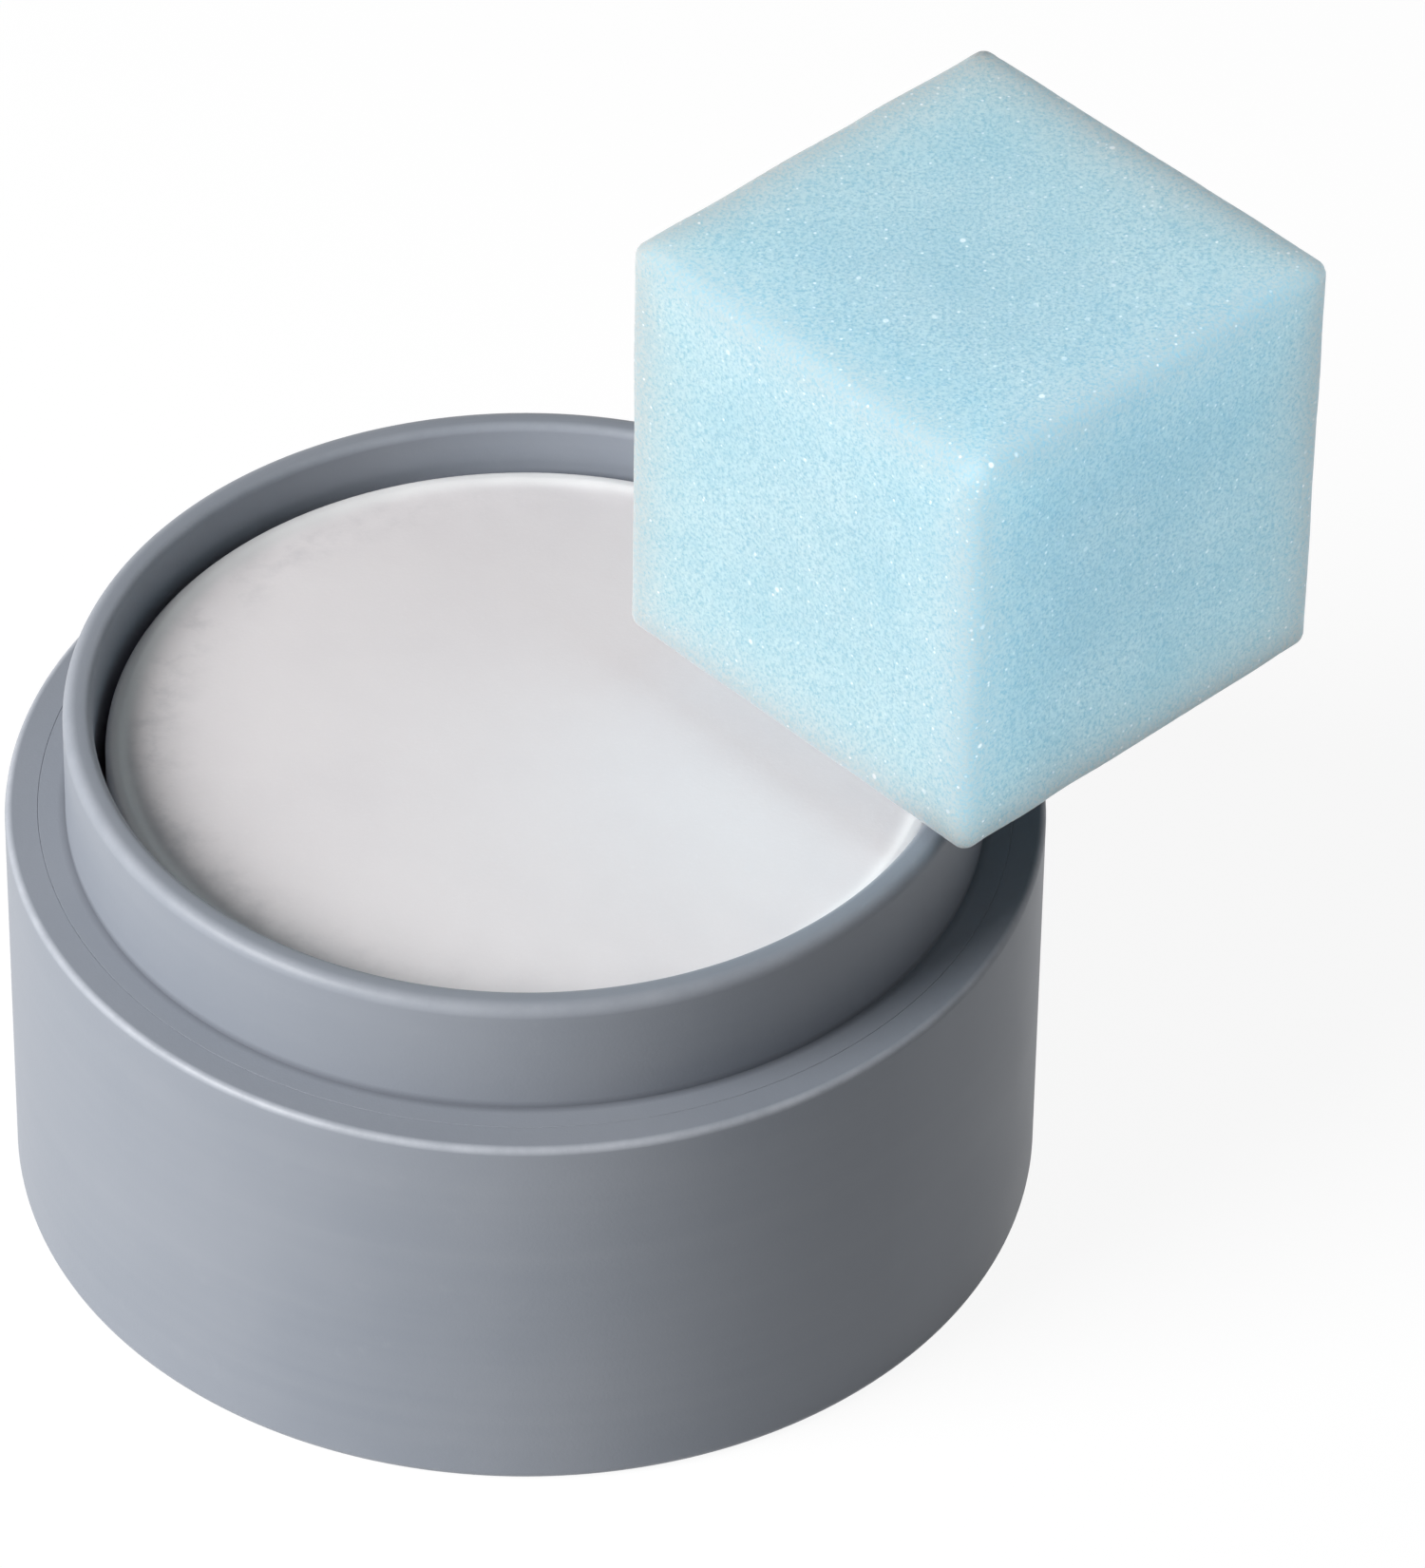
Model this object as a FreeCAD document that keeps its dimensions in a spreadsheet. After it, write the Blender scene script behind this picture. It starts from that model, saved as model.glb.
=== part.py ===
import FreeCAD, Part
import os
import Sketcher

# Round two-wall paint pot, its dried cake of colour, and the foam block that wets and lifts the colour.
# Millimetres, +Z up. The origin is the middle of the underside, on the surface that the pot stands on.

# How near an edge's radius and height must be to those asked for
edge_match = 1e-4

doc = FreeCAD.newDocument("PaintPot")
sheet = doc.addObject("Spreadsheet::Sheet", "Sizes")

driving_sizes = [
    # Outer shell: straight wall, flat base with a ring groove that a pot below can stack in
    ("pot_diameter", 60.0),
    ("shoulder_height", 25.75),
    ("shell_wall", 1.9),
    ("base_thickness", 2.0),
    ("foot_ring_width", 3.2),
    ("stack_groove_width", 1.6),
    ("stack_groove_depth", 0.6),
    ("stack_groove_round", 0.2),
    ("base_round", 0.7),
    ("shoulder_round", 0.45),
    # Ribs inside the shell, which the cup's skirt stands on
    ("rib_count", 8),
    ("rib_depth", 1.6),
    ("rib_thickness", 1.4),
    # Snap joint between the shell and the cup
    ("fit_clearance", 0.08),
    ("skirt_height", 3.0),
    ("skirt_wall", 1.2),
    ("bead_height", 0.25),
    ("bead_width", 1.2),
    ("seam_round", 0.12),
    # Inner cup: flange flush with the shell's top ring, neck and rounded rim
    ("flange_width", 1.52),
    ("flange_thickness", 1.6),
    ("neck_height", 7.4),
    ("neck_foot_round", 0.2),
    ("neck_step", 0.6),
    ("rim_wall", 1.7),
    ("rim_inner_round", 0.5),
    ("rim_outer_round", 0.4),
    ("cup_depth", 16.3),
    ("cup_narrowing", 0.4),
    ("cup_floor", 1.5),
    ("cup_corner_round", 1.5),
    # Cake of colour, shrunk a little away from the cup's wall
    ("cake_sink", 2.65),
    ("cake_gap", 0.6),
    ("cake_edge_round", 0.7),
    # Foam block that stands on the rim
    ("sponge_length", 28.0),
    ("sponge_width", 28.0),
    ("sponge_height", 28.0),
    ("sponge_round", 0.8),
    ("sponge_inset", 0.5),
    ("sponge_bearing_angle", 13.5),
    ("sponge_turn_angle", 44.0),
    ("sponge_seat_gap", 0.2),
]

# Sizes that follow from the driving ones, from the outside of the pot inwards and upwards
derived_sizes = [
    ("pot_radius", "pot_diameter / 2"),
    ("shell_inner_radius", "pot_radius - shell_wall"),
    ("foot_inner_radius", "pot_radius - foot_ring_width"),
    ("stack_groove_inner_radius", "foot_inner_radius - stack_groove_width"),
    ("skirt_radius", "shell_inner_radius - fit_clearance"),
    ("skirt_inner_radius", "skirt_radius - skirt_wall"),
    ("flange_underside", "shoulder_height - flange_thickness"),
    ("skirt_bottom", "flange_underside - skirt_height"),
    ("bead_radius", "skirt_radius + bead_height"),
    ("bead_middle", "skirt_bottom + skirt_height / 2"),
    ("bead_bottom", "bead_middle - bead_width / 2"),
    ("bead_top", "bead_middle + bead_width / 2"),
    ("snap_groove_radius", "shell_inner_radius + bead_height"),
    ("snap_groove_bottom", "bead_bottom - fit_clearance"),
    ("snap_groove_top", "bead_top + fit_clearance"),
    ("rib_inner_radius", "shell_inner_radius - rib_depth"),
    ("rib_outer_radius", "shell_inner_radius + shell_wall / 2"),
    ("rib_root", "base_thickness / 2"),
    ("rib_rise", "skirt_bottom - rib_root"),
    ("neck_radius", "skirt_radius - flange_width"),
    ("rim_height", "shoulder_height + neck_height"),
    ("mouth_radius", "neck_radius - rim_wall"),
    ("cup_outer_radius", "neck_radius - neck_step"),
    ("cup_floor_radius", "mouth_radius - cup_narrowing"),
    ("cup_floor_height", "rim_height - cup_depth"),
    ("cup_underside", "cup_floor_height - cup_floor"),
    ("cake_top", "rim_height - cake_sink"),
    ("cake_top_radius", "mouth_radius - cup_narrowing * cake_sink / cup_depth - cake_gap"),
    ("cake_bottom_radius", "cup_floor_radius - cake_gap"),
    ("sponge_reach", "neck_radius - sponge_inset"),
    ("sponge_bottom", "rim_height + sponge_seat_gap"),
]


def fill_sheet():
    row = 1
    for alias, value in driving_sizes:
        sheet.set(f"A{row}", alias)
        sheet.set(f"B{row}", str(value))
        sheet.setAlias(f"B{row}", alias)
        row += 1
    for alias, formula in derived_sizes:
        sheet.set(f"A{row}", alias)
        sheet.setAlias(f"B{row}", alias)
        sheet.set(f"B{row}", f"={formula}")
        row += 1
    doc.recompute()


def cell(alias):
    return f"Sizes.{alias}"


def value_of(alias):
    return float(sheet.get(alias))


def new_body(node):
    body = doc.addObject("PartDesign::Body", node)
    body.Label = node
    return body


def plane_of(body, role):
    for feature in body.Origin.OriginFeatures:
        if feature.Role == role:
            return feature
    raise ValueError(f"no origin feature {role}")


def sketch_on(body, name, role):
    sketch = body.newObject("Sketcher::SketchObject", name)
    sketch.AttachmentSupport = [(plane_of(body, role), "")]
    sketch.MapMode = "FlatFace"
    return sketch


def bind(sketch, constraint, expression):
    # A driving dimension of the sketch, tied to the sheet
    index = sketch.addConstraint(constraint)
    sketch.setExpression(f"Constraints[{index}]", expression)


def turned_solid(body, name, outline):
    # Half section as (radius, height) names from the sheet, None on an axis, turned about Z
    sketch = sketch_on(body, f"{name}Section", "XZ_Plane")
    points = [
        FreeCAD.Vector(value_of(radius) if radius else 0, value_of(height) if height else 0, 0)
        for radius, height in outline
    ]
    count = len(outline)
    for i in range(count):
        sketch.addGeometry(Part.LineSegment(points[i], points[(i + 1) % count]), False)
    for i in range(count):
        sketch.addConstraint(Sketcher.Constraint("Coincident", i, 2, (i + 1) % count, 1))
    for i, (radius, height) in enumerate(outline):
        if radius:
            bind(sketch, Sketcher.Constraint("DistanceX", -1, 1, i, 1, points[i].x), cell(radius))
        else:
            sketch.addConstraint(Sketcher.Constraint("PointOnObject", i, 1, -2))
        if height:
            bind(sketch, Sketcher.Constraint("DistanceY", -1, 1, i, 1, points[i].y), cell(height))
        else:
            sketch.addConstraint(Sketcher.Constraint("PointOnObject", i, 1, -1))
    turned = body.newObject("PartDesign::Revolution", f"{name}Turned")
    turned.Profile = sketch
    turned.ReferenceAxis = (sketch, ["V_Axis"])
    turned.Angle = 360
    doc.recompute()
    return turned


def ring_edge(feature, radius, height):
    # The one circular edge about Z with this radius and height
    for index, edge in enumerate(feature.Shape.Edges, start=1):
        curve = edge.Curve
        if not isinstance(curve, Part.Circle):
            continue
        same_radius = abs(curve.Radius - radius) < edge_match
        if same_radius and abs(curve.Center.z - height) < edge_match:
            return f"Edge{index}"
    raise ValueError(f"no ring edge of radius {radius} at height {height}")


def round_rings(body, base, name, size, *rings):
    # Round the ring edges given as (radius, height) names, height None at the underside
    edges = []
    for radius, height in rings:
        edges.append(ring_edge(base, value_of(radius), value_of(height) if height else 0))
    rounded = body.newObject("PartDesign::Fillet", name)
    rounded.Base = (base, edges)
    rounded.setExpression("Radius", cell(size))
    doc.recompute()
    return rounded


def make_outer_shell():
    body = new_body("outer_shell")
    outline = [
        (None, None),
        ("stack_groove_inner_radius", None),
        ("stack_groove_inner_radius", "stack_groove_depth"),
        ("foot_inner_radius", "stack_groove_depth"),
        ("foot_inner_radius", None),
        ("pot_radius", None),
        ("pot_radius", "shoulder_height"),
        ("shell_inner_radius", "shoulder_height"),
        ("shell_inner_radius", "snap_groove_top"),
        ("snap_groove_radius", "bead_middle"),
        ("shell_inner_radius", "snap_groove_bottom"),
        ("shell_inner_radius", "base_thickness"),
        (None, "base_thickness"),
    ]
    tip = turned_solid(body, "Shell", outline)
    tip = round_rings(body, tip, "BaseRound", "base_round", ("pot_radius", None))
    groove_edges = [("foot_inner_radius", None), ("stack_groove_inner_radius", None)]
    tip = round_rings(body, tip, "StackGrooveRound", "stack_groove_round", *groove_edges)
    tip = round_rings(body, tip, "ShoulderRound", "shoulder_round", ("pot_radius", "shoulder_height"))
    tip = round_rings(body, tip, "SeamRound", "seam_round", ("shell_inner_radius", "shoulder_height"))
    add_ribs(body)
    return body


def add_ribs(body):
    # One rib from the base up to the skirt, rooted in the wall, then repeated round the axis
    sketch = sketch_on(body, "RibSection", "XY_Plane")
    sketch.setExpression("AttachmentOffset.Base.z", cell("rib_root"))
    inner, outer = value_of("rib_inner_radius"), value_of("rib_outer_radius")
    half = value_of("rib_thickness") / 2
    corners = [(inner, -half), (outer, -half), (outer, half), (inner, half)]
    points = [FreeCAD.Vector(x, y, 0) for x, y in corners]
    for i in range(4):
        sketch.addGeometry(Part.LineSegment(points[i], points[(i + 1) % 4]), False)
    for i in range(4):
        sketch.addConstraint(Sketcher.Constraint("Coincident", i, 2, (i + 1) % 4, 1))
    for i in (0, 2):
        sketch.addConstraint(Sketcher.Constraint("Horizontal", i))
    sketch.addConstraint(Sketcher.Constraint("Vertical", 1))
    sketch.addConstraint(Sketcher.Constraint("Symmetric", 0, 1, 2, 2, -1))
    bind(sketch, Sketcher.Constraint("DistanceX", -1, 1, 0, 1, inner), cell("rib_inner_radius"))
    bind(sketch, Sketcher.Constraint("DistanceX", -1, 1, 0, 2, outer), cell("rib_outer_radius"))
    bind(sketch, Sketcher.Constraint("DistanceY", 0, 2, 1, 2, 2 * half), cell("rib_thickness"))
    rib = body.newObject("PartDesign::Pad", "Rib")
    rib.Profile = sketch
    rib.setExpression("Length", cell("rib_rise"))
    doc.recompute()
    ribs = body.newObject("PartDesign::PolarPattern", "Ribs")
    ribs.Originals = [rib]
    ribs.Axis = (sketch, ["N_Axis"])
    ribs.Angle = 360
    ribs.setExpression("Occurrences", cell("rib_count"))
    body.Tip = ribs
    doc.recompute()


def make_inner_cup():
    body = new_body("inner_cup")
    outline = [
        (None, "cup_underside"),
        ("cup_outer_radius", "cup_underside"),
        ("cup_outer_radius", "flange_underside"),
        ("skirt_inner_radius", "flange_underside"),
        ("skirt_inner_radius", "skirt_bottom"),
        ("skirt_radius", "skirt_bottom"),
        ("skirt_radius", "bead_bottom"),
        ("bead_radius", "bead_middle"),
        ("skirt_radius", "bead_top"),
        ("skirt_radius", "shoulder_height"),
        ("neck_radius", "shoulder_height"),
        ("neck_radius", "rim_height"),
        ("mouth_radius", "rim_height"),
        ("cup_floor_radius", "cup_floor_height"),
        (None, "cup_floor_height"),
    ]
    tip = turned_solid(body, "Cup", outline)
    tip = round_rings(body, tip, "RimInnerRound", "rim_inner_round", ("mouth_radius", "rim_height"))
    tip = round_rings(body, tip, "RimOuterRound", "rim_outer_round", ("neck_radius", "rim_height"))
    tip = round_rings(body, tip, "NeckFootRound", "neck_foot_round", ("neck_radius", "shoulder_height"))
    tip = round_rings(body, tip, "FlangeRound", "seam_round", ("skirt_radius", "shoulder_height"))
    round_rings(
        body,
        tip,
        "CupCornerRound",
        "cup_corner_round",
        ("cup_floor_radius", "cup_floor_height"),
        ("cup_outer_radius", "cup_underside"),
    )
    return body


def make_paint_cake():
    body = new_body("paint_cake")
    outline = [
        (None, "cup_floor_height"),
        ("cake_bottom_radius", "cup_floor_height"),
        ("cake_top_radius", "cake_top"),
        (None, "cake_top"),
    ]
    tip = turned_solid(body, "Cake", outline)
    corner = ("cake_bottom_radius", "cup_floor_height")
    tip = round_rings(body, tip, "CakeCornerRound", "cup_corner_round", corner)
    round_rings(body, tip, "CakeEdgeRound", "cake_edge_round", ("cake_top_radius", "cake_top"))
    return body


def make_sponge():
    body = new_body("sponge")
    sketch = sketch_on(body, "SpongeSection", "XY_Plane")
    half_length, half_width = value_of("sponge_length") / 2, value_of("sponge_width") / 2
    corners = [(-1, -1), (1, -1), (1, 1), (-1, 1)]
    points = [FreeCAD.Vector(x * half_length, y * half_width, 0) for x, y in corners]
    for i in range(4):
        sketch.addGeometry(Part.LineSegment(points[i], points[(i + 1) % 4]), False)
    for i in range(4):
        sketch.addConstraint(Sketcher.Constraint("Coincident", i, 2, (i + 1) % 4, 1))
    for i in (0, 2):
        sketch.addConstraint(Sketcher.Constraint("Horizontal", i))
        sketch.addConstraint(Sketcher.Constraint("Vertical", i + 1))
    sketch.addConstraint(Sketcher.Constraint("Symmetric", 0, 1, 1, 2, -1, 1))
    bind(sketch, Sketcher.Constraint("DistanceX", 0, 1, 0, 2, 2 * half_length), cell("sponge_length"))
    bind(sketch, Sketcher.Constraint("DistanceY", 1, 1, 1, 2, 2 * half_width), cell("sponge_width"))
    block = body.newObject("PartDesign::Pad", "Block")
    block.Profile = sketch
    block.setExpression("Length", cell("sponge_height"))
    doc.recompute()
    softened = body.newObject("PartDesign::Fillet", "SoftEdges")
    softened.Base = (block, [f"Edge{i + 1}" for i in range(len(block.Shape.Edges))])
    softened.setExpression("Radius", cell("sponge_round"))
    # It stands on the rim with its middle just inside the rim's outer face
    body.setExpression("Placement.Base.x", f"{cell('sponge_reach')} * cos({cell('sponge_bearing_angle')})")
    body.setExpression("Placement.Base.y", f"{cell('sponge_reach')} * sin({cell('sponge_bearing_angle')})")
    body.setExpression("Placement.Base.z", cell("sponge_bottom"))
    body.Placement.Rotation = FreeCAD.Rotation(FreeCAD.Vector(0, 0, 1), value_of("sponge_turn_angle"))
    body.setExpression("Placement.Rotation.Angle", cell("sponge_turn_angle"))
    doc.recompute()
    return body


def check_and_write(bodies):
    doc.recompute()
    for thing in doc.Objects:
        if "Invalid" in thing.State or "Error" in thing.State:
            raise RuntimeError(f"{thing.Name} failed: {thing.State}")
    for body in bodies:
        shape = body.Shape
        if shape.isNull() or not shape.isValid() or len(shape.Solids) != 1:
            raise RuntimeError(f"{body.Label} is not one sound solid")
    os.makedirs("parts", exist_ok=True)
    for body in bodies:
        body.Shape.exportStep(f"parts/{body.Label}.step")
        print(f"{body.Label}: {body.Shape.Volume / 1000:.2f} ml, {body.Shape.BoundBox}")


fill_sheet()
check_and_write([make_outer_shell(), make_inner_cup(), make_paint_cake(), make_sponge()])
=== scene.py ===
import math
import bpy
from mathutils import Matrix, Vector, noise


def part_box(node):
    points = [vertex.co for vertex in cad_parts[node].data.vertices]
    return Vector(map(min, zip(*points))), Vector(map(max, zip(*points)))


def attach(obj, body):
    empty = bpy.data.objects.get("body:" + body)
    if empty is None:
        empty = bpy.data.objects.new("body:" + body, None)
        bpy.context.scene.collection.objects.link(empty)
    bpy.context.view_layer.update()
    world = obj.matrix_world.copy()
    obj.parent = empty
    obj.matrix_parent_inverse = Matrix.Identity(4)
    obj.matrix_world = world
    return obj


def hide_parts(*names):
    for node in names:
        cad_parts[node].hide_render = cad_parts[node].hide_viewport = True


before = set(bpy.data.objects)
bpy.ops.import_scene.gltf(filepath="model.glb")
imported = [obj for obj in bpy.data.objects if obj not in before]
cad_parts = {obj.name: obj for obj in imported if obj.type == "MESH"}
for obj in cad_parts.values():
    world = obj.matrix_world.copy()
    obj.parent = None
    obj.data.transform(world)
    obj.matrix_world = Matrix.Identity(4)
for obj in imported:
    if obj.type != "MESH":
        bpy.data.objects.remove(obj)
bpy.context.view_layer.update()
mm = 0.001
print("frame loaded:", ", ".join(sorted(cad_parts)))


def srgb(r, g, b):
    # screen colour 0-255 to the linear value a shader socket wants
    def lin(c):
        c = c / 255
        return c / 12.92 if c <= 0.04045 else ((c + 0.055) / 1.055) ** 2.4
    return (lin(r), lin(g), lin(b), 1.0)


# node helpers

def newMaterial(name):
    mat = bpy.data.materials.new(name)
    mat.use_nodes = True
    return mat, mat.node_tree, mat.node_tree.nodes["Principled BSDF"]


def addNode(tree, kind, **settings):
    node = tree.nodes.new(kind)
    for key, value in settings.items():
        if key in node.inputs:
            node.inputs[key].default_value = value
        else:
            setattr(node, key, value)
    return node


def noiseField(tree, vector, scale, detail=3.0, roughness=0.5):
    node = addNode(tree, "ShaderNodeTexNoise")
    node.inputs["Scale"].default_value = scale
    node.inputs["Detail"].default_value = detail
    node.inputs["Roughness"].default_value = roughness
    tree.links.new(vector, node.inputs["Vector"])
    return node.outputs["Fac"]


def remap(tree, value, low, high, toLow=0.0, toHigh=1.0):
    node = addNode(tree, "ShaderNodeMapRange")
    tree.links.new(value, node.inputs["Value"])
    for socket, number in (("From Min", low), ("From Max", high), ("To Min", toLow), ("To Max", toHigh)):
        node.inputs[socket].default_value = number
    return node.outputs["Result"]


def sums(tree, operation, a, b):
    node = addNode(tree, "ShaderNodeMath", operation=operation)
    for socket, value in zip(node.inputs, (a, b)):
        if isinstance(value, (int, float)):
            socket.default_value = value
        else:
            tree.links.new(value, socket)
    return node.outputs["Value"]


def blendColor(tree, factor, a, b, blendType="MIX"):
    node = addNode(tree, "ShaderNodeMix", data_type="RGBA", blend_type=blendType)
    if isinstance(factor, (int, float)):
        node.inputs[0].default_value = factor
    else:
        tree.links.new(factor, node.inputs[0])
    for socket, value in ((node.inputs[6], a), (node.inputs[7], b)):
        if isinstance(value, tuple):
            socket.default_value = value
        else:
            tree.links.new(value, socket)
    return node.outputs[2]


def bumpOf(tree, height, distance, strength=1.0, under=None):
    node = addNode(tree, "ShaderNodeBump")
    node.inputs["Strength"].default_value = strength
    node.inputs["Distance"].default_value = distance
    tree.links.new(height, node.inputs["Height"])
    if under is not None:
        tree.links.new(under, node.inputs["Normal"])
    return node.outputs["Normal"]


# grey moulded plastic: fine spark-eroded grain, faint rings from the mould, dull handling marks, painted
# highlights on the rounded edges, painted shade at the neck's foot

plastic = {
    "colour": srgb(147, 152, 161),
    "paler": srgb(156, 160, 168),
    "darker": srgb(140, 146, 156),
    # painted highlight colour for the rounded edges
    "paintedHighlight": srgb(196, 200, 208),
    # painted shade colour for the corner at the neck's foot
    "cornerShade": srgb(84, 88, 97),
    "roughness": (0.40, 0.50),
    "grainScale": 5200,
    "grainDepth": 0.008 * mm,
    "ringScale": 700,
    "ringDepth": 0.004 * mm,
    "cloudScale": 60,
    "scuffScale": 420,
    "scuffTint": 0.25,
    "scuffRough": 0.06,
    "wearSmooth": 0.12,
    "cornerShadeTint": 0.6,
    "specular": 0.3,
}


def makePlastic(name):
    mat, tree, shader = newMaterial(name)
    place = addNode(tree, "ShaderNodeTexCoord").outputs["Object"]
    cloud = noiseField(tree, place, plastic["cloudScale"], 4.0)
    grain = noiseField(tree, place, plastic["grainScale"], 2.0, 0.6)
    # rings: noise squeezed flat, so it only changes with height
    squeeze = addNode(tree, "ShaderNodeMapping")
    squeeze.inputs["Scale"].default_value = (0.02, 0.02, 1.0)
    tree.links.new(place, squeeze.inputs["Vector"])
    rings = noiseField(tree, squeeze.outputs["Vector"], plastic["ringScale"], 2.0)
    scuff = noiseField(tree, place, plastic["scuffScale"], 5.0, 0.7)
    scuffMask = remap(tree, scuff, 0.60, 0.74)
    colour = blendColor(tree, remap(tree, cloud, 0.35, 0.65), plastic["darker"], plastic["colour"])
    colour = blendColor(tree, remap(tree, rings, 0.42, 0.68, 0.0, 0.15), colour, plastic["paler"])
    scuffed = sums(tree, "MULTIPLY", scuffMask, plastic["scuffTint"])
    colour = blendColor(tree, scuffed, colour, plastic["paler"])
    # edges painted paler as a highlight along their rounds, and made smoother as if rubbed by lids and
    # hands
    highlightWear = addNode(tree, "ShaderNodeAttribute", attribute_name="edgeHighlightWear").outputs["Fac"]
    patchy = remap(tree, scuff, 0.35, 0.65, 0.45, 0.8)
    highlightWear = sums(tree, "MULTIPLY", highlightWear, patchy)
    colour = blendColor(tree, highlightWear, colour, plastic["paintedHighlight"])
    # painted shade in the corner at the neck's foot
    cornerShade = addNode(tree, "ShaderNodeAttribute", attribute_name="cornerShadeMask").outputs["Fac"]
    cornerShade = sums(tree, "MULTIPLY", cornerShade, plastic["cornerShadeTint"])
    colour = blendColor(tree, cornerShade, colour, plastic["cornerShade"])
    tree.links.new(colour, shader.inputs["Base Color"])
    low, high = plastic["roughness"]
    rough = remap(tree, cloud, 0.3, 0.7, low, high)
    rough = sums(tree, "ADD", rough, sums(tree, "MULTIPLY", scuffMask, plastic["scuffRough"]))
    rough = sums(tree, "SUBTRACT", rough, sums(tree, "MULTIPLY", highlightWear, plastic["wearSmooth"]))
    tree.links.new(rough, shader.inputs["Roughness"])
    normal = bumpOf(tree, rings, plastic["ringDepth"])
    normal = bumpOf(tree, grain, plastic["grainDepth"], under=normal)
    tree.links.new(normal, shader.inputs["Normal"])
    shader.inputs["Specular IOR Level"].default_value = plastic["specular"]
    return mat


greyPlastic = makePlastic("greyPlastic")


# modelling helpers

ringMatch = 0.002 * mm
mergeGap = 0.001 * mm
smoothAngle = 40
# from a sharp corner to the middle of its round, as a share of the round's size
cornerShare = 0.41


def startPiece():
    if bpy.context.object and bpy.context.object.mode != "OBJECT":
        bpy.ops.object.mode_set(mode="OBJECT")
    bpy.ops.object.select_all(action="DESELECT")


def settle(piece, angle=smoothAngle):
    # place into the mesh, object at the origin
    bpy.ops.object.mode_set(mode="OBJECT")
    bpy.ops.object.transform_apply(location=True, rotation=True, scale=True)
    bpy.ops.object.shade_smooth_by_angle(angle=math.radians(angle))
    return piece


def chooseFaces(piece, test):
    bpy.ops.object.mode_set(mode="OBJECT")
    for edge in piece.data.edges:
        edge.select = False
    for vert in piece.data.vertices:
        vert.select = False
    for face in piece.data.polygons:
        face.select = test(face)
    bpy.ops.object.mode_set(mode="EDIT")


def chooseRing(piece, radius, height):
    # the edges round the axis at this radius and height
    bpy.ops.mesh.select_all(action="DESELECT")
    bpy.ops.object.mode_set(mode="OBJECT")
    near = []
    for vert in piece.data.vertices:
        out = math.hypot(vert.co.x, vert.co.y)
        near.append(abs(out - radius) + abs(vert.co.z - height) < ringMatch)
    for edge in piece.data.edges:
        edge.select = near[edge.vertices[0]] and near[edge.vertices[1]]
    bpy.ops.object.mode_set(mode="EDIT")


def turnProfile(name, profile, segments):
    # a half section drawn point by point from one vertex, then spun about the axis
    points = [Vector((radius, 0, height)) for radius, height in profile]
    startPiece()
    bpy.ops.mesh.primitive_plane_add(size=1 * mm, location=(0, 0, 0))
    piece = bpy.context.object
    piece.name = name
    bpy.ops.object.mode_set(mode="EDIT")
    bpy.ops.mesh.select_all(action="SELECT")
    bpy.ops.mesh.merge(type="CENTER")
    bpy.ops.transform.translate(value=points[0])
    for here, ahead in zip(points, points[1:]):
        bpy.ops.mesh.extrude_region_move(TRANSFORM_OT_translate={"value": ahead - here})
    bpy.ops.mesh.select_all(action="SELECT")
    bpy.ops.mesh.spin(steps=segments, angle=2 * math.pi, center=(0, 0, 0), axis=(0, 0, 1))
    bpy.ops.mesh.select_all(action="SELECT")
    bpy.ops.mesh.remove_doubles(threshold=mergeGap)
    bpy.ops.mesh.normals_make_consistent(inside=False)
    return piece


def roundRings(piece, rounds):
    for radius, height, size, steps in rounds:
        chooseRing(piece, radius, height)
        bpy.ops.mesh.bevel(offset=size, segments=steps, profile=0.5, affect="EDGES")


def evenShading(piece):
    # flat rings keep flat shading right up to their rounds
    settle(piece)
    bpy.ops.object.modifier_add(type="WEIGHTED_NORMAL")
    piece.modifiers[-1].keep_sharp = True
    bpy.ops.object.modifier_apply(modifier=piece.modifiers[-1].name)


def markRings(piece, name, rings):
    # strongest along the middle of a ring's round, nothing where it runs out
    mark = piece.data.attributes.new(name, "FLOAT", "POINT")
    for vert in piece.data.vertices:
        out = math.hypot(vert.co.x, vert.co.y)
        for radius, height, size, amount in rings:
            gap = math.hypot(out - radius, vert.co.z - height)
            share = amount * min(1.0, max(0.0, (size - gap) / ((1 - cornerShare) * size)))
            mark.data[vert.index].value = max(mark.data[vert.index].value, share)


# outer shell: straight wall, flat base with a stacking groove, snap groove and ribs inside

shell = {
    "segments": 256,
    "wall": 1.9 * mm,
    "base": 2.0 * mm,
    "footRing": 3.2 * mm,
    "stackWidth": 1.6 * mm,
    "stackDepth": 0.6 * mm,
    "snapDrop": 3.1 * mm,
    "snapDepth": 0.25 * mm,
    "snapHalf": 0.68 * mm,
    "baseRound": 0.7 * mm,
    "stackRound": 0.2 * mm,
    "shoulderRound": 0.45 * mm,
    # painted highlight on the base and shoulder rounds
    "baseHighlightWear": 0.3,
    "shoulderHighlightWear": 0.9,
    "seamRound": 0.03 * mm,
    "ribs": 8,
    "ribDepth": 1.6 * mm,
    "ribRoot": 0.95 * mm,
    "ribThick": 1.4 * mm,
    "ribDrop": 4.6 * mm,
}


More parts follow.
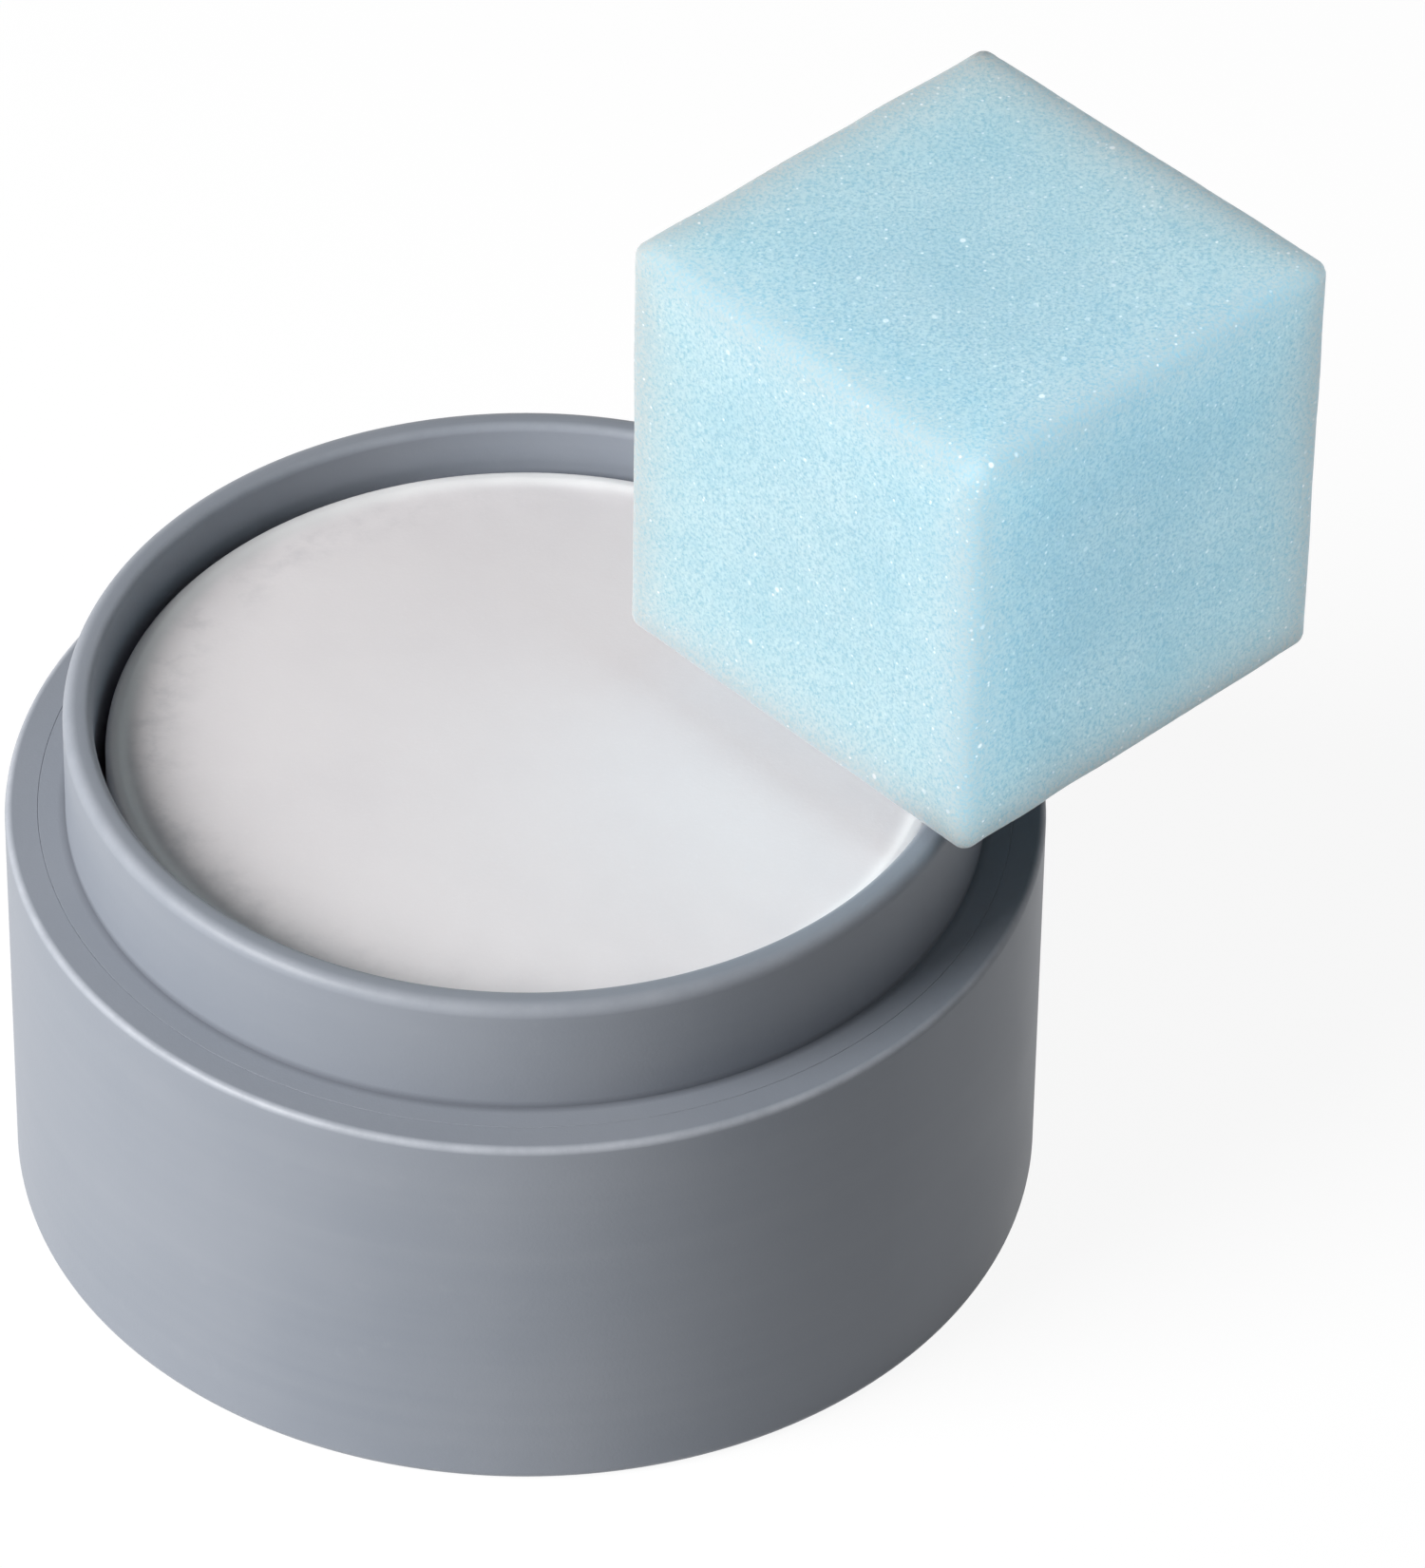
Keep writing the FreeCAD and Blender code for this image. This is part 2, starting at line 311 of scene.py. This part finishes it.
def makeShell():
    low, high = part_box("outer_shell")
    radius = (high.x - low.x) / 2
    top = high.z
    inner = radius - shell["wall"]
    foot = radius - shell["footRing"]
    stack = foot - shell["stackWidth"]
    snap = top - shell["snapDrop"]
    profile = [
        (0, 0), (stack, 0), (stack, shell["stackDepth"]), (foot, shell["stackDepth"]), (foot, 0),
        (radius, 0), (radius, top), (inner, top),
        (inner, snap + shell["snapHalf"]),
        (inner + shell["snapDepth"], snap),
        (inner, snap - shell["snapHalf"]),
        (inner, shell["base"]), (0, shell["base"]),
    ]
    piece = turnProfile("potShell", profile, shell["segments"])
    roundRings(piece, [
        (stack, 0, shell["stackRound"], 3),
        (foot, 0, shell["stackRound"], 3),
        (radius, 0, shell["baseRound"], 6),
        (radius, top, shell["shoulderRound"], 6),
        (inner, top, shell["seamRound"], 3),
    ])
    addRibs(inner, top)
    evenShading(piece)
    # painted highlight along the shoulder and base rounds
    markRings(piece, "edgeHighlightWear", [
        (radius, top, shell["shoulderRound"], shell["shoulderHighlightWear"]),
        (radius, 0, shell["baseRound"], shell["baseHighlightWear"]),
    ])
    return piece


def addRibs(inner, top):
    # blocks rooted in the wall and the base
    ribTop = top - shell["ribDrop"]
    ribFoot = shell["base"] / 2
    size = (shell["ribDepth"] + shell["ribRoot"], shell["ribThick"], ribTop - ribFoot)
    reach = inner + (shell["ribRoot"] - shell["ribDepth"]) / 2
    for rib in range(shell["ribs"]):
        angle = rib * 2 * math.pi / shell["ribs"]
        spot = (reach * math.cos(angle), reach * math.sin(angle), (ribTop + ribFoot) / 2)
        bpy.ops.mesh.primitive_cube_add(size=1, location=spot, rotation=(0, 0, angle), scale=size)


potShell = makeShell()
potShell.data.materials.append(greyPlastic)
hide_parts("outer_shell")
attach(potShell, "pot")
print("outer shell:", len(potShell.data.polygons), "faces")


# inner cup: skirt with a snap bead, flange flush with the shell, neck, rounded rim

cup = {
    "segments": 256,
    "floor": 1.5 * mm,
    "neckHeight": 7.4 * mm,
    "rimWall": 1.7 * mm,
    "narrowing": 0.4 * mm,
    "neckStep": 0.6 * mm,
    "flangeWidth": 1.52 * mm,
    "flangeThick": 1.6 * mm,
    "flangeLip": 0.075 * mm,
    "skirtHeight": 3.0 * mm,
    "skirtWall": 1.2 * mm,
    "beadHeight": 0.25 * mm,
    "beadHalf": 0.6 * mm,
    "rimInRound": 0.5 * mm,
    "rimOutRound": 0.8 * mm,
    # painted highlight on the rim's rounds
    "rimInHighlightWear": 0.3,
    "rimOutHighlightWear": 0.35,
    "neckFootRound": 0.05 * mm,
    # reach of the painted shade at the neck's foot
    "cornerShadeReach": 0.5 * mm,
    "flangeRound": 0.03 * mm,
    "cornerRound": 1.5 * mm,
}


def makeCup():
    low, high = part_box("inner_cup")
    under = low.z
    rim = high.z
    # the bead is the widest place
    bead = (high.x - low.x) / 2
    skirt = bead - cup["beadHeight"]
    skirtIn = skirt - cup["skirtWall"]
    flange = skirt + cup["flangeLip"]
    neck = skirt - cup["flangeWidth"]
    mouth = neck - cup["rimWall"]
    floorEdge = mouth - cup["narrowing"]
    outside = neck - cup["neckStep"]
    shoulder = rim - cup["neckHeight"]
    flangeLow = shoulder - cup["flangeThick"]
    skirtLow = flangeLow - cup["skirtHeight"]
    beadMiddle = (flangeLow + skirtLow) / 2
    floor = under + cup["floor"]
    profile = [
        (0, under), (outside, under), (outside, flangeLow), (skirtIn, flangeLow), (skirtIn, skirtLow),
        (skirt, skirtLow), (skirt, beadMiddle - cup["beadHalf"]), (bead, beadMiddle),
        (skirt, beadMiddle + cup["beadHalf"]), (flange, shoulder), (neck + cup["cornerShadeReach"], shoulder),
        (neck, shoulder), (neck, shoulder + cup["cornerShadeReach"]), (neck, rim),
        (mouth, rim), (floorEdge, floor), (0, floor),
    ]
    piece = turnProfile("potCup", profile, cup["segments"])
    roundRings(piece, [
        (mouth, rim, cup["rimInRound"], 6),
        (neck, rim, cup["rimOutRound"], 8),
        (neck, shoulder, cup["neckFootRound"], 2),
        (flange, shoulder, cup["flangeRound"], 3),
        (floorEdge, floor, cup["cornerRound"], 6),
        (outside, under, cup["cornerRound"], 6),
    ])
    evenShading(piece)
    # painted highlight along the rim's rounds
    markRings(piece, "edgeHighlightWear", [
        (neck, rim, cup["rimOutRound"], cup["rimOutHighlightWear"]),
        (mouth, rim, cup["rimInRound"], cup["rimInHighlightWear"]),
    ])
    # painted shade along the corner at the neck's foot
    markRings(piece, "cornerShadeMask", [(neck, shoulder, cup["cornerShadeReach"], 1.0)])
    return piece


potCup = makeCup()
potCup.data.materials.append(greyPlastic)
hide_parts("inner_cup")
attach(potCup, "pot")
print("inner cup:", len(potCup.data.polygons), "faces")


# cake of colour: a disc with a rounded edge, a low lip where it dried, and a faintly uneven top

cake = {
    "segments": 192,
    "rings": 26,
    "edgeRound": 0.7 * mm,
    "bottomTrim": 1.6 * mm,
    "lipRise": 0.18 * mm,
    "lipWidth": 0.9 * mm,
    "lipRings": 10,
    "lipStep": 0.18 * mm,
    "waves": 0.06 * mm,
    "waveScale": 420,
    "smearReach": 4.0 * mm,
    "rimWidth": 0.7 * mm,
    "streakBand": 1.8 * mm,
    "topMatch": 0.05 * mm,
    "cloudScale": 90,
    "powderScale": 4200,
    "powderDepth": 0.01 * mm,
    "strokeScale": 900,
    "strokeDepth": 0.02 * mm,
    "streakScale": 380,
    "scatter": 0.6 * mm,
    "colour": srgb(244, 239, 240),
    "powder": srgb(248, 244, 245),
    # painted highlight colour along the rim
    "rim": srgb(253, 252, 252),
    "streakGrey": srgb(196, 194, 198),
    "damp": srgb(237, 232, 234),
}


def makeCake():
    low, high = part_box("paint_cake")
    radius = (high.x - low.x) / 2
    depth = high.z - low.z
    startPiece()
    bpy.ops.mesh.primitive_cylinder_add(
        vertices=cake["segments"], radius=radius, depth=depth, location=(0, 0, (low.z + high.z) / 2))
    piece = bpy.context.object
    piece.name = "paintCake"
    bpy.ops.object.mode_set(mode="EDIT")
    # lower edge drawn in, as the cup's rounded corner draws it in
    chooseFaces(piece, lambda face: face.normal.z < -0.9)
    bpy.ops.mesh.bevel(offset=cake["bottomTrim"], segments=4, affect="EDGES")
    # rounded top edge
    chooseFaces(piece, lambda face: face.normal.z > 0.9)
    bpy.ops.mesh.bevel(offset=cake["edgeRound"], segments=6, affect="EDGES")
    # rings across the top, so that it can wave
    chooseFaces(piece, lambda face: face.normal.z > 0.99 and len(face.vertices) > 8)
    # close together where the lip is
    for ring in range(cake["lipRings"]):
        bpy.ops.mesh.inset(thickness=cake["lipStep"], depth=0)
    step = (radius - cake["edgeRound"] - cake["lipRings"] * cake["lipStep"]) / (cake["rings"] + 0.5)
    for ring in range(cake["rings"]):
        bpy.ops.mesh.inset(thickness=step, depth=0)
    bpy.ops.mesh.poke()
    bpy.ops.mesh.select_all(action="SELECT")
    bpy.ops.mesh.normals_make_consistent(inside=False)
    settle(piece, 60)
    rimHighlight = piece.data.attributes.new("rimHighlight", "FLOAT", "POINT")
    edgeStreaks = piece.data.attributes.new("edgeStreaks", "FLOAT", "POINT")
    for vert in piece.data.vertices:
        fromAxis = math.hypot(vert.co.x, vert.co.y)
        if high.z - vert.co.z > cake["topMatch"]:
            # the painted highlight runs onto the rounded edge too
            rimHighlight.data[vert.index].value = max(0.0, 1 - (high.z - vert.co.z) / cake["edgeRound"])
            continue
        inwards = radius - cake["edgeRound"] - fromAxis
        lip = math.exp(-(inwards / cake["lipWidth"]) ** 2 * 4) * cake["lipRise"]
        # smeared near the wall, smooth in the middle
        smear = math.exp(-(inwards / cake["smearReach"]) ** 2) * 0.85 + 0.15
        wave = noise.noise(vert.co * cake["waveScale"]) * cake["waves"] * smear
        vert.co.z += lip + wave - cake["lipRise"] - cake["waves"]
        # painted highlight in a band along the top's edge
        rimHighlight.data[vert.index].value = math.exp(-(inwards / cake["rimWidth"]) ** 2)
        # grey streaks in a band just inside the edge, strongest on the left side
        leftward = max(0.0, 0.2 - vert.co.x / radius) / 1.2
        edgeStreaks.data[vert.index].value = leftward * math.exp(-(inwards / cake["streakBand"] - 1) ** 2)
    return piece


def makeCakeMaterial():
    mat, tree, shader = newMaterial("driedColour")
    place = addNode(tree, "ShaderNodeTexCoord").outputs["Object"]
    cloud = noiseField(tree, place, cake["cloudScale"], 3.0, 0.5)
    powder = noiseField(tree, place, cake["powderScale"], 3.0, 0.65)
    stroke = noiseField(tree, place, cake["strokeScale"], 4.0, 0.6)
    colour = blendColor(tree, remap(tree, cloud, 0.42, 0.75, 0.0, 0.6), cake["colour"], cake["damp"])
    colour = blendColor(tree, remap(tree, powder, 0.55, 0.75, 0.0, 0.4), colour, cake["powder"])
    # painted highlight along the rim, and grey streaks just inside it, strongest on the left
    rimHighlight = addNode(tree, "ShaderNodeAttribute", attribute_name="rimHighlight").outputs["Fac"]
    edgeStreaks = addNode(tree, "ShaderNodeAttribute", attribute_name="edgeStreaks").outputs["Fac"]
    streak = noiseField(tree, place, cake["streakScale"], 4.0, 0.65)
    streak = remap(tree, streak, 0.48, 0.70, 0.0, 0.5)
    colour = blendColor(tree, sums(tree, "MULTIPLY", edgeStreaks, streak), colour, cake["streakGrey"])
    colour = blendColor(tree, rimHighlight, colour, cake["rim"])
    tree.links.new(colour, shader.inputs["Base Color"])
    tree.links.new(remap(tree, cloud, 0.3, 0.7, 0.55, 0.7), shader.inputs["Roughness"])
    normal = bumpOf(tree, stroke, cake["strokeDepth"], 0.5)
    normal = bumpOf(tree, powder, cake["powderDepth"], 0.6, under=normal)
    tree.links.new(normal, shader.inputs["Normal"])
    shader.inputs["Specular IOR Level"].default_value = 0.3
    shader.inputs["Subsurface Weight"].default_value = 0.15
    shader.inputs["Subsurface Radius"].default_value = (1.0, 1.0, 1.0)
    shader.inputs["Subsurface Scale"].default_value = cake["scatter"]
    return mat


paintCake = makeCake()
paintCake.data.materials.append(makeCakeMaterial())
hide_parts("paint_cake")
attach(paintCake, "pot")
print("cake of colour:", len(paintCake.data.polygons), "faces")


# foam sponge: cut block, softened edges, slightly slack sides, open pores

foam = {
    "turn": math.radians(44.0),
    "cuts": 118,
    "cadRound": 0.8 * mm,
    "edgeRound": 1.0 * mm,
    "slack": 0.22 * mm,
    "wander": 0.07 * mm,
    "wanderScale": 240,
    "slackReach": 6.2 * mm,
    "poreScale": 1900,
    "poreSize": 0.42,
    "poreDepth": 0.12 * mm,
    "edgeBand": 4.5 * mm,
    "ridgeBand": 1.5 * mm,
    "colour": srgb(187, 212, 217),
    "deeper": srgb(173, 205, 213),
    # painted shade colour for the band along the edges
    "edgeShadeColour": srgb(186, 200, 203),
    # painted shade colour for the very edge
    "ridge": srgb(164, 181, 186),
    # painted shade colour for the pores
    "poreShade": srgb(137, 180, 197),
    # painted glint colour
    "glintWhite": srgb(252, 254, 254),
    "glints": [(700, 0.15, 0.35), (2000, 0.22, 0.35)],    # scale, size in its cell, share of cells
    "glintStrength": 0.6,
    "cloudScale": 160,
    "cellScale": 4600,
    "cellDepth": 0.10 * mm,
    "fineScale": 9000,
    "fineDepth": 0.04 * mm,
    "scatter": 16.0 * mm,
}


def makeSponge():
    low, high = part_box("sponge")
    middle = (low + high) / 2
    height = high.z - low.z
    # the side of a turned block with rounded corners, from the width of its box
    corners = 2 * foam["cadRound"]
    side = (high.x - low.x - corners) / (math.cos(foam["turn"]) + math.sin(foam["turn"])) + corners
    startPiece()
    bpy.ops.mesh.primitive_cube_add(size=1, location=middle, rotation=(0, 0, foam["turn"]))
    piece = bpy.context.object
    piece.name = "spongeBlock"
    piece.scale = (side, side, height)
    bpy.ops.object.transform_apply(location=True, rotation=True, scale=True)
    bpy.ops.object.mode_set(mode="EDIT")
    bpy.ops.mesh.select_all(action="SELECT")
    bpy.ops.mesh.subdivide(number_cuts=foam["cuts"])
    settle(piece, 180)
    turnBack = Matrix.Rotation(-foam["turn"], 3, "Z")
    half = Vector((side / 2, side / 2, height / 2))
    within = half - Vector((1, 1, 1)) * foam["edgeRound"]
    edgeShade = piece.data.attributes.new("edgeShade", "FLOAT", "POINT")
    ridgeShade = piece.data.attributes.new("ridgeShade", "FLOAT", "POINT")
    poreShadeMask = piece.data.attributes.new("poreShadeMask", "FLOAT", "POINT")
    for vert in piece.data.vertices:
        spot = turnBack @ (vert.co - middle)
        toFace = sorted(half[axis] - abs(spot[axis]) for axis in range(3))
        # rounded block: the core shrunk by the round, then the round put back on
        core = Vector([max(-within[axis], min(within[axis], spot[axis])) for axis in range(3)])
        outward = (spot - core).normalized()
        spot = core + outward * foam["edgeRound"]
        # each side bows in a little towards its middle
        inFace = 1 - math.exp(-(toFace[1] / foam["slackReach"]) ** 2)
        spot -= outward * foam["slack"] * inFace
        wander = noise.noise(vert.co * foam["wanderScale"]) - 1
        spot += outward * wander * foam["wander"]
        cellGap = noise.voronoi(vert.co * foam["poreScale"])[0]
        pore = max(0.0, 1 - cellGap[0] / foam["poreSize"])
        spot -= outward * pore * pore * foam["poreDepth"]
        vert.co = middle + turnBack.transposed() @ spot
        edgeShade.data[vert.index].value = math.exp(-(toFace[1] / foam["edgeBand"]) ** 2 * 1.6)
        ridgeShade.data[vert.index].value = math.exp(-(toFace[1] / foam["ridgeBand"]) ** 2)
        poreShadeMask.data[vert.index].value = pore
    return piece


def makeFoam():
    mat, tree, shader = newMaterial("blueFoam")
    place = addNode(tree, "ShaderNodeTexCoord").outputs["Object"]
    edgeShade = addNode(tree, "ShaderNodeAttribute", attribute_name="edgeShade").outputs["Fac"]
    poreShadeMask = addNode(tree, "ShaderNodeAttribute", attribute_name="poreShadeMask").outputs["Fac"]
    cloud = noiseField(tree, place, foam["cloudScale"], 4.0, 0.6)
    cells = noiseField(tree, place, foam["cellScale"], 3.0, 0.7)
    finer = noiseField(tree, place, foam["fineScale"], 2.0, 0.6)
    colour = blendColor(tree, remap(tree, cloud, 0.36, 0.66), foam["colour"], foam["deeper"])
    # painted shade: a greyer band along every edge
    colour = blendColor(tree, sums(tree, "MULTIPLY", edgeShade, 0.85), colour, foam["edgeShadeColour"])
    # painted shade along the very edge, greying it where light from both sides would whiten it
    ridgeShade = addNode(tree, "ShaderNodeAttribute", attribute_name="ridgeShade").outputs["Fac"]
    colour = blendColor(tree, ridgeShade, colour, foam["ridge"])
    # painted shade in the pores' dents and in the hollows of the cell bump
    colour = blendColor(tree, sums(tree, "MULTIPLY", poreShadeMask, 0.35), colour, foam["poreShade"])
    colour = blendColor(tree, remap(tree, cells, 0.34, 0.58, 0.9, 0.0), colour, foam["poreShade"])
    # painted glints, as from cut cell walls facing the light: white specks in the colour, a few large ones
    # and many small
    for scale, size, chance in foam["glints"]:
        specks = addNode(tree, "ShaderNodeTexVoronoi")
        specks.inputs["Scale"].default_value = scale
        tree.links.new(place, specks.inputs["Vector"])
        core = remap(tree, specks.outputs["Distance"], size * 0.6, size, 1.0, 0.0)
        pick = addNode(tree, "ShaderNodeSeparateColor")
        tree.links.new(specks.outputs["Color"], pick.inputs["Color"])
        shown = remap(tree, pick.outputs["Red"], 1 - chance, 1.0)
        glint = sums(tree, "MULTIPLY", sums(tree, "MULTIPLY", core, shown), foam["glintStrength"])
        colour = blendColor(tree, glint, colour, foam["glintWhite"])
    tree.links.new(colour, shader.inputs["Base Color"])
    tree.links.new(remap(tree, cells, 0.3, 0.7, 0.95, 0.75), shader.inputs["Roughness"])
    normal = bumpOf(tree, cells, foam["cellDepth"], 0.8)
    normal = bumpOf(tree, finer, foam["fineDepth"], 0.6, under=normal)
    tree.links.new(normal, shader.inputs["Normal"])
    shader.inputs["Specular IOR Level"].default_value = 0.2
    shader.inputs["Subsurface Weight"].default_value = 1.0
    shader.inputs["Subsurface Radius"].default_value = (0.8, 1.0, 1.1)
    shader.inputs["Subsurface Scale"].default_value = foam["scatter"]
    shader.inputs["Sheen Weight"].default_value = 0.15
    return mat


spongeBlock = makeSponge()
spongeBlock.data.materials.append(makeFoam())
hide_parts("sponge")
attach(spongeBlock, "sponge")
print("foam sponge:", len(spongeBlock.data.polygons), "faces")


# camera, from the ellipses of the pot in the photograph

lookout = {
    "elevation": 0.71386,
    "distance": 620.0 * mm,
    "focusPixels": 11338.0,
    "target": (10.743 * mm, 0.0, 26.918 * mm),
    "roll": 0.015946,
    "imageHeight": 1650,
}


def makeCamera():
    data = bpy.data.cameras.new("camera")
    camera = bpy.data.objects.new("camera", data)
    bpy.context.scene.collection.objects.link(camera)
    data.sensor_width = 36.0
    data.lens = lookout["focusPixels"] / lookout["imageHeight"] * data.sensor_width
    data.clip_start = 0.01
    data.clip_end = 20
    e = lookout["elevation"]
    ahead = Vector((0, math.cos(e), -math.sin(e)))
    right = Vector((1, 0, 0))
    up = Vector((0, math.sin(e), math.cos(e)))
    roll = lookout["roll"]
    right, up = right * math.cos(roll) + up * math.sin(roll), up * math.cos(roll) - right * math.sin(roll)
    turn = Matrix((right, up, -ahead)).transposed().to_4x4()
    spot = Vector(lookout["target"]) - ahead * lookout["distance"]
    camera.matrix_world = Matrix.Translation(spot) @ turn
    bpy.context.scene.camera = camera


makeCamera()


# studio: pale floor, a soft lamp from the left, one more for the block alone, dim surround that shows white

studio = {
    "keyPower": 7.2,
    "keySize": 0.46,
    "keyFrom": (-60, 30, 0.75),    # azimuth from the front, elevation, distance
    # the block is lit from its other side too
    "blockPower": 5.2,
    "blockTint": (0.76, 0.91, 1.0),
    "blockSize": 0.45,
    "blockFrom": (50, 35, 0.75),
    "aim": (8 * mm, 0.0, 30 * mm),
    "ambient": 0.12,
    "floorSide": 6.0,
    "floorDrop": 0.02 * mm,
    "floorColour": (0.60, 0.60, 0.60, 1.0),
    "floorGlow": 0.80,
    "glowStrength": 1.14,
}


def addLamp(name, power, size, where):
    azimuth, elevation, distance = where
    a, e = math.radians(azimuth), math.radians(elevation)
    away = Vector((math.sin(a) * math.cos(e), -math.cos(a) * math.cos(e), math.sin(e)))
    data = bpy.data.lights.new(name, "AREA")
    data.energy = power
    data.shape = "DISK"
    data.size = size
    lamp = bpy.data.objects.new(name, data)
    bpy.context.scene.collection.objects.link(lamp)
    lamp.location = Vector(studio["aim"]) + away * distance
    lamp.rotation_mode = "QUATERNION"
    lamp.rotation_quaternion = (-away).to_track_quat("-Z", "Y")
    return lamp


def seenDirectly(tree):
    # 1 for what the camera sees itself, in a reflection or through something clear
    path = addNode(tree, "ShaderNodeLightPath")
    seen = sums(tree, "MAXIMUM", path.outputs["Is Camera Ray"], path.outputs["Is Glossy Ray"])
    return sums(tree, "MAXIMUM", seen, path.outputs["Is Transmission Ray"])


def makeWorld():
    world = bpy.data.worlds.new("surround")
    bpy.context.scene.world = world
    world.use_nodes = True
    tree = world.node_tree
    sky = tree.nodes["Background"]
    seen = seenDirectly(tree)
    strength = remap(tree, seen, 0.0, 1.0, studio["ambient"], 1.0)
    sky.inputs["Color"].default_value = (1, 1, 1, 1)
    tree.links.new(strength, sky.inputs["Strength"])


def makeFloor():
    startPiece()
    bpy.ops.mesh.primitive_plane_add(size=studio["floorSide"], location=(0, 0, -studio["floorDrop"]))
    floor = bpy.context.object
    floor.name = "floor"
    mat, tree, shader = newMaterial("paleFloor")
    shader.inputs["Base Color"].default_value = studio["floorColour"]
    shader.inputs["Roughness"].default_value = 0.9
    glow = addNode(tree, "ShaderNodeEmission")
    glow.inputs["Strength"].default_value = studio["glowStrength"]
    seen = seenDirectly(tree)
    both = addNode(tree, "ShaderNodeMixShader")
    tree.links.new(sums(tree, "MULTIPLY", seen, studio["floorGlow"]), both.inputs[0])
    tree.links.new(shader.outputs["BSDF"], both.inputs[1])
    tree.links.new(glow.outputs["Emission"], both.inputs[2])
    # clear from below, so that the underside can be seen
    below = addNode(tree, "ShaderNodeNewGeometry").outputs["Backfacing"]
    oneSided = addNode(tree, "ShaderNodeMixShader")
    tree.links.new(below, oneSided.inputs[0])
    tree.links.new(both.outputs["Shader"], oneSided.inputs[1])
    tree.links.new(addNode(tree, "ShaderNodeBsdfTransparent").outputs["BSDF"], oneSided.inputs[2])
    tree.links.new(oneSided.outputs["Shader"], tree.nodes["Material Output"].inputs["Surface"])
    floor.data.materials.append(mat)


addLamp("keyLamp", studio["keyPower"], studio["keySize"], studio["keyFrom"])
blockLamp = addLamp("blockLamp", studio["blockPower"], studio["blockSize"], studio["blockFrom"])
lit = bpy.data.collections.new("litBlock")
lit.objects.link(spongeBlock)
blockLamp.data.color = studio["blockTint"]
blockLamp.light_linking.receiver_collection = lit
makeWorld()
makeFloor()
bpy.context.scene.view_settings.view_transform = "Standard"
print("camera, lamps and floor placed")
